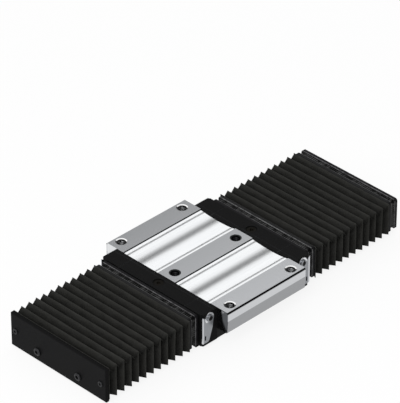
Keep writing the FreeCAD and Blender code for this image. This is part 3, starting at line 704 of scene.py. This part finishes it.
def valley_outline(ridge, sizes, leg_steps, corner_steps):
    """The valley's outline, node by node under the ridge's: lower on the top and further in on the sides.

    The roof keeps its full width, so each fold ends square at the bellows' edges. The corner's nodes
    run from the leg's top, tucked in and down, out to the roof's end.
    """
    half, top, foot = ridge[:, 0].max(), ridge[:, 1].max(), ridge[0, 1]
    side = half - sizes.side_depth
    low = top - sizes.top_depth
    tuck = low - sizes.gusset
    share = np.linspace(0.0, 1.0, leg_steps, endpoint=False)
    out = np.linspace(0.0, 1.0, corner_steps, endpoint=False)
    leg = np.stack([side + 0 * share, foot + share * (tuck - foot)], 1)
    corner = np.stack([side + out * (half - side), tuck + out * (low - 0.3 * sizes.gusset - tuck)], 1)
    first = leg_steps + corner_steps
    middle = (len(ridge) + 1) // 2
    run = -ridge[first:middle, 0]
    roof = np.stack([run * half / run[0], low + 0 * run], 1)
    return both_halves(np.concatenate([leg, corner, roof]))


def fold_wave(sizes):
    """Half folds p counted from the frame, and the share s(p) that the cloth is sunk there.

    s(p) = (1 - w(p)) / 2 with w(p) = asin(crease * cos(pi p)) / asin(crease): a zigzag from 0 on a ridge
    to 1 in a valley, barely rounded at both, where the places p are set closer together.
    """
    steps = 10
    half_folds = 2 * sizes.folds
    ease = (1 - np.cos(np.linspace(0.0, math.pi, steps, endpoint=False))) / 2
    phase = np.append((np.arange(half_folds)[:, None] + ease[None, :]).ravel(), half_folds)
    wave = np.arcsin(sizes.crease * np.cos(math.pi * phase)) / math.asin(sizes.crease)
    return phase, (1 - wave) / 2


def give_cloth_layers(piece, along, across, height):
    """A UV map of lengths over the flat cloth, and an attribute of 1 on a ridge and 0 in a valley."""
    uv = np.stack(np.broadcast_arrays(along[:, None], across[None, :]), axis=-1).reshape(-1, 2)
    corner_of = np.zeros(len(piece.data.loops), np.int32)
    piece.data.loops.foreach_get("vertex_index", corner_of)
    layer = piece.data.uv_layers.new(name="cloth")
    layer.data.foreach_set("uv", np.tile(uv, (2, 1))[corner_of].astype(np.float32).ravel())
    attribute = piece.data.attributes.new("ridge", "FLOAT", "POINT")
    attribute.data.foreach_set("value", np.tile(np.repeat(height, len(across)), 2).astype(np.float32))


def build_cloth(name, sizes, side, material):
    """One bellows cloth, as a closed shell on a grid of fold phase by outline.

    A point lies the sunk share of the way from the ridge's outline to the valley's. Two waves wander the
    folds along the rail, a third pulls the ridges in here and there, and all fade out within three
    quarters of a fold of the frames. The inner skin is a plain U one wall further in.
    """
    # Along a leg, round a corner and over half the roof
    steps = (9, 5, 15)
    half, top, foot = CLOTH_HIGH.y, CLOTH_HIGH.z, CLOTH_LOW.z
    ridge, _ = outline(half, top, foot, sizes.corner, *steps)
    valley = valley_outline(ridge, sizes, *steps[:2])
    lining, _ = outline(half - sizes.wall, top - sizes.wall, foot, sizes.corner / 2, *steps)
    low_half = half - sizes.side_depth - sizes.wall
    low_top = top - sizes.top_depth - sizes.wall
    low_lining, _ = outline(low_half, low_top, foot, sizes.corner / 2, *steps)
    phase, sink = fold_wave(sizes)
    walked = walked_length(ridge)
    across = walked[None, :] / walked[-1]
    turn = phase[:, None]
    hold = np.clip(np.minimum(phase, phase[-1] - phase) / 1.5, 0.0, 1.0)[:, None] * sizes.unevenness
    wander = hold * (np.sin(9.0 * across + 2.3 * turn) + 0.6 * np.sin(23.0 * across - 1.7 * turn + 1.0))
    sway = hold * np.abs(np.sin(14.0 * across + 1.1 * turn + 0.6 * side)) / sizes.side_depth
    along = CLOTH_LOW.x + (CLOTH_HIGH.x - CLOTH_LOW.x) * phase / phase[-1]
    share = (sink[:, None] * (1 - sway) + sway)[..., None]
    x = (side * (along[:, None] + wander))[..., None]
    skins = [
        np.concatenate([x, (1 - share) * high + share * low], axis=2).reshape(-1, 3)
        for high, low in ((ridge, valley), (lining, low_lining))
    ]
    faces = shell_faces(len(phase), len(ridge), side).tolist()
    piece = add_piece(name, np.concatenate(skins), faces, material)
    developed = walked_length(np.stack([along, sizes.side_depth * sink], 1))
    give_cloth_layers(piece, developed, walked, 1 - sink)
    return piece, float(developed[-1]), float(walked[-1])


class BELLOWS_OT_cloths(bpy.types.Operator):
    """Builds the two folded cloths, each stretched between its two frames"""

    bl_idname = "bellows.cloths"
    bl_label = "Folded Cloths"

    def execute(self, context):
        sizes = context.scene.bellows_cloth
        material = bpy.data.materials["bellows_cloth_look"]
        for side, end, body in ((-1, "near", "near_end"), (1, "far", "outer_end")):
            piece, flat_length, flat_width = build_cloth(f"folded_cloth_{end}", sizes, side, material)
            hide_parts(f"bellows_cloth_{end}")
            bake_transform(piece)
        return {"FINISHED"}


def build_ribs(name, sizes, low_x, high_x, material):
    """Small bevelled ribs round the floor of a groove: one twelve-cornered block set along the outline.

    Each rib is centred on the outline, and its corners are offsets along the outline, out of it and
    along the rail. Places are spaced evenly by the length walked along the outline.
    """
    half = FRAME_HIGH.y - sizes.inset
    top = FRAME_HIGH.z - sizes.inset
    foot = FRAME_LOW.z + sizes.inset / 2
    steps = (30, 6, 30)
    line, normal = outline(half, top, foot, sizes.radius, *steps)
    walked = walked_length(line)
    count = int(walked[-1] / sizes.pitch)
    at = (np.arange(count) + 0.5) * walked[-1] / count
    centre = np.stack([np.interp(at, walked, line[:, axis]) for axis in (0, 1)], 1)
    out = np.stack([np.interp(at, walked, normal[:, axis]) for axis in (0, 1)], 1)
    out /= np.linalg.norm(out, axis=1)[:, None]
    run = np.stack([out[:, 1], -out[:, 0]], 1)
    wide = sizes.width / 2
    root = -0.2 * MM
    shoulder = 0.7 * sizes.height
    profile = np.array([
        (-wide, root),
        (wide, root),
        (wide, shoulder),
        (0.5 * wide, sizes.height),
        (-0.5 * wide, sizes.height),
        (-wide, shoulder),
    ])
    ring = centre[:, None] + profile[None, :, :1] * run[:, None] + profile[None, :, 1:] * out[:, None]
    corners = len(profile)
    ends = [np.concatenate([np.full((count, corners, 1), x), ring], 2) for x in (low_x, high_x)]
    points = np.concatenate(ends, 1).reshape(-1, 3)
    turn = np.arange(corners)
    sides = np.stack([turn, np.roll(turn, -1), np.roll(turn, -1) + corners, turn + corners], 1)
    caps = np.array([[0, 5, 2, 1], [5, 4, 3, 2], [6, 7, 8, 11], [11, 8, 9, 10]])
    block = np.concatenate([sides, caps])
    faces = (block[None] + 2 * corners * np.arange(count)[:, None, None]).reshape(-1, 4)
    return add_piece(name, points, faces.tolist(), material, smooth=False)


class BELLOWS_OT_ribs(bpy.types.Operator):
    """Builds the rows of small ribs in the grooves between the mounting plates and the bellows frames"""

    bl_idname = "bellows.ribs"
    bl_label = "Groove Ribs"

    def execute(self, context):
        sizes = context.scene.bellows_ribs
        material = moulded("rib_resin", (0.036, 0.036, 0.036), 0.10, 0.45, 2.0, 0.000020, caught_dust)
        gap = 0.05 * MM
        groove = FRAME_BACK - PLATE_FRONT
        for name, body, start in (
            ("groove_ribs_far", "carriage", PLATE_FRONT),
            ("groove_ribs_near", "carriage", -PLATE_FRONT - groove),
            ("groove_ribs_outer", "outer_end", OUTER_PLATE_FRONT - groove),
        ):
            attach(build_ribs(name, sizes, start + gap, start + groove - gap, material), body)
        return {"FINISHED"}


def build_thread(x, y, last, sizes, first):
    """Points and faces of one thread in a hole: a three-sided ridge wound down a helix.

    With t the angle, a corner lies at radius r(t), angle t and depth start + pitch * t / 2 pi, and the
    ridge fades into the wall over its first and last half turn. Points are numbered from first.
    """
    steps_a_turn = 28
    wall = sizes.hole + 0.06 * MM
    half_ridge = 0.48 * sizes.pitch
    turns = (last - sizes.start) / sizes.pitch
    angle = np.linspace(0.0, 2 * math.pi * turns, int(turns * steps_a_turn) + 1)
    fade = np.clip(np.minimum(angle, angle[-1] - angle) / math.pi, 0.02, 1.0)
    radius = np.stack([wall + 0 * angle, wall - (wall - sizes.crest) * fade, wall + 0 * angle], 1)
    lift = np.array([half_ridge, 0.0, -half_ridge])
    depth = sizes.start + sizes.pitch * angle[:, None] / (2 * math.pi) - lift[None] * fade[:, None]
    points = np.stack([x + radius * np.cos(angle)[:, None], y + radius * np.sin(angle)[:, None], -depth], 2)
    rows = len(angle)
    number = np.arange(rows * 3).reshape(rows, 3) + first
    turned = np.roll(number, -1, axis=1)
    sides = np.stack([number[:-1], turned[:-1], turned[1:], number[1:]], 2).reshape(-1, 4)
    caps = [number[0, ::-1].tolist(), number[-1].tolist()]
    return points.reshape(-1, 3), sides.tolist() + caps


class BELLOWS_OT_threads(bpy.types.Operator):
    """Builds the screw threads in the four flange holes and the two blind holes"""

    bl_idname = "bellows.threads"
    bl_label = "Hole Threads"

    def execute(self, context):
        sizes = context.scene.bellows_threads
        points = np.zeros((0, 3))
        faces = []
        for x in (-sizes.along / 2, sizes.along / 2):
            for y in (-sizes.across / 2, 0.0, sizes.across / 2):
                last = sizes.depth if y else sizes.blind_depth
                more_points, more_faces = build_thread(x, y, last, sizes, len(points))
                points = np.concatenate([points, more_points])
                faces += more_faces
        piece = add_piece("hole_threads", points, faces, thread_steel(), smooth=False)
        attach(piece, "carriage")
        return {"FINISHED"}


class BELLOWS_OT_finishes(bpy.types.Operator):
    """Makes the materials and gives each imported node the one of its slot"""

    bl_idname = "bellows.finishes"
    bl_label = "Finishes"

    def execute(self, context):
        materials = make_materials(context.scene.bellows_finishes)
        for name, node in NODES.items():
            if not node.material_slots:
                node.data.materials.append(None)
            for slot in node.material_slots:
                slot.material = materials[SLOT_OF[name]]
        return {"FINISHED"}


def view_axes(settings):
    """Right, up and back of the camera. Back is (sin a cos e, -cos a cos e, sin e)."""
    a, e = settings.azimuth, settings.elevation
    right = Vector((math.cos(a), math.sin(a), 0.0))
    back = Vector((math.sin(a) * math.cos(e), -math.cos(a) * math.cos(e), math.sin(e)))
    return right, back.cross(right), back


def add_camera(settings):
    """The camera, which looks along the view with the block's top off its centre as the settings say."""
    right, up, back = view_axes(settings)
    lens = bpy.data.cameras.new("camera")
    lens.sensor_width = 36.0
    lens.lens = settings.lens
    lens.clip_start = 0.05
    lens.clip_end = 50.0
    camera = bpy.data.objects.new("camera", lens)
    turned = Matrix((right, up, back)).transposed().to_4x4()
    turned.translation = -settings.right * right - settings.up * up + settings.distance * back
    camera.matrix_world = turned
    bpy.context.scene.collection.objects.link(camera)
    bpy.context.scene.camera = camera


def add_floor(settings):
    """A plain white floor under the carriage's feet, which shows nearly white and keeps a soft shadow."""
    shown_white = 0.86
    half = settings.floor / 2
    corners = [(x * half, y * half, LOWEST) for x, y in ((-1, -1), (1, -1), (1, 1), (-1, 1))]
    mesh = bpy.data.meshes.new("floor")
    mesh.from_pydata(corners, [], [(0, 1, 2, 3)])
    floor = bpy.data.objects.new("floor", mesh)
    bpy.context.scene.collection.objects.link(floor)
    material = bpy.data.materials.new("floor_paper")
    material.use_nodes = True
    paint = Paint(material.node_tree)
    rays = paint.node("ShaderNodeLightPath")
    seen = paint.math("MAXIMUM", paint.term(rays, "Is Camera Ray"), paint.term(rays, "Is Glossy Ray"))
    seen = paint.math("MAXIMUM", seen, paint.term(rays, "Is Transmission Ray"))
    plain = paint.term(paint.node("ShaderNodeBsdfDiffuse", values={"Color": (0.82, 0.82, 0.82, 1.0)}))
    white = paint.term(paint.node("ShaderNodeEmission", values={"Strength": 1.02}))
    mixed = paint.node("ShaderNodeMixShader", values={0: seen * shown_white, 1: plain, 2: white})
    paint.node("ShaderNodeOutputMaterial", values={"Surface": paint.term(mixed)})
    mesh.materials.append(material)


def add_world():
    """Soft white studio light: a narrow grey gap that the channels mirror, and a dark flag for the bevels.

    A direction's angle about the rail is atan2(z, y), from 0 at +Y over 90 degrees overhead. The gap and
    the flag lie between two angles each, on the +X side, and the -Y side is dimmer.
    """
    gap_rises = (43.1, 44.0)
    gap_falls = (45.1, 47.4)
    gap_depth = 0.87
    flag_from = 112.0
    flag_to = 152.0
    flag_soft = 5.0
    flag_depth = 0.97
    dimming = 0.34
    world = bpy.data.worlds.new("studio")
    world.use_nodes = True
    bpy.context.scene.world = world
    paint = Paint(world.node_tree)
    direction = paint.term(paint.node("ShaderNodeTexCoord"), "Generated")
    x, y, z = paint.split(direction)
    angle = paint.math("ARCTAN2", z, y) * (180 / math.pi)
    forward = paint.step(x, 0.15, 0.35)
    gap = paint.step(angle, *gap_rises) * (1 - paint.step(angle, *gap_falls)) * forward
    flag = paint.band(angle, flag_from, flag_to, flag_soft) * forward
    dim_side = paint.step(0 - y, -0.1, 0.7)
    level = (1.0 - dim_side * dimming) * (1 - gap * gap_depth) * (1 - flag * flag_depth)
    rays = paint.node("ShaderNodeLightPath")
    seen = paint.math("MAXIMUM", paint.term(rays, "Is Camera Ray"), paint.term(rays, "Is Transmission Ray"))
    strength = paint.math("MAXIMUM", seen, level)
    light = paint.node("ShaderNodeBackground", values={"Color": (1.0, 1.0, 1.0, 1.0), "Strength": strength})
    paint.node("ShaderNodeOutputWorld", values={"Surface": paint.term(light)})


def add_lamp(name, place, size, power):
    """A square soft light that looks at the block."""
    lamp = bpy.data.lights.new(name, "AREA")
    lamp.shape = "SQUARE"
    lamp.size = size
    lamp.energy = power
    made = bpy.data.objects.new(name, lamp)
    made.location = place
    made.rotation_euler = (-Vector(place)).to_track_quat("-Z", "Y").to_euler()
    bpy.context.scene.collection.objects.link(made)


class BELLOWS_OT_stage(bpy.types.Operator):
    """Sets up the camera, the floor and the light"""

    bl_idname = "bellows.stage"
    bl_label = "Stage"

    def execute(self, context):
        settings = context.scene.bellows_stage
        add_camera(settings)
        add_floor(settings)
        add_world()
        add_lamp("key", place=(-1.1, -0.5, 1.2), size=0.9, power=settings.key)
        context.scene.view_settings.view_transform = "Standard"
        return {"FINISHED"}


class BELLOWS_PT_panel(bpy.types.Panel):
    """Lists the pieces with the sizes they are built from"""

    bl_idname = "BELLOWS_PT_panel"
    bl_label = "Bellows"
    bl_space_type = "VIEW_3D"
    bl_region_type = "UI"
    bl_category = "Bellows"

    def draw(self, context):
        for operator, settings in OPERATORS.items():
            box = self.layout.box()
            box.operator(operator)
            group = getattr(context.scene, settings)
            for name in group.bl_rna.properties.keys():
                if name not in ("rna_type", "name"):
                    box.prop(group, name)


SETTINGS = {
    "bellows_finishes": Finishes,
    "bellows_cloth": ClothSizes,
    "bellows_ribs": RibSizes,
    "bellows_threads": ThreadSizes,
    "bellows_stage": StageSettings,
}
OPERATORS = {
    "bellows.finishes": "bellows_finishes",
    "bellows.cloths": "bellows_cloth",
    "bellows.ribs": "bellows_ribs",
    "bellows.threads": "bellows_threads",
    "bellows.stage": "bellows_stage",
}
CLASSES = (
    BELLOWS_OT_finishes,
    BELLOWS_OT_cloths,
    BELLOWS_OT_ribs,
    BELLOWS_OT_threads,
    BELLOWS_OT_stage,
    BELLOWS_PT_panel,
)


def register():
    for name, group in SETTINGS.items():
        bpy.utils.register_class(group)
        setattr(bpy.types.Scene, name, PointerProperty(type=group))
    for made in CLASSES:
        bpy.utils.register_class(made)


def unregister():
    for made in reversed(CLASSES):
        bpy.utils.unregister_class(made)
    for name, group in SETTINGS.items():
        delattr(bpy.types.Scene, name)
        bpy.utils.unregister_class(group)


def main():
    register()
    for operator in OPERATORS:
        family, name = operator.split(".")
        getattr(getattr(bpy.ops, family), name)()


if __name__ == "__main__":
    main()
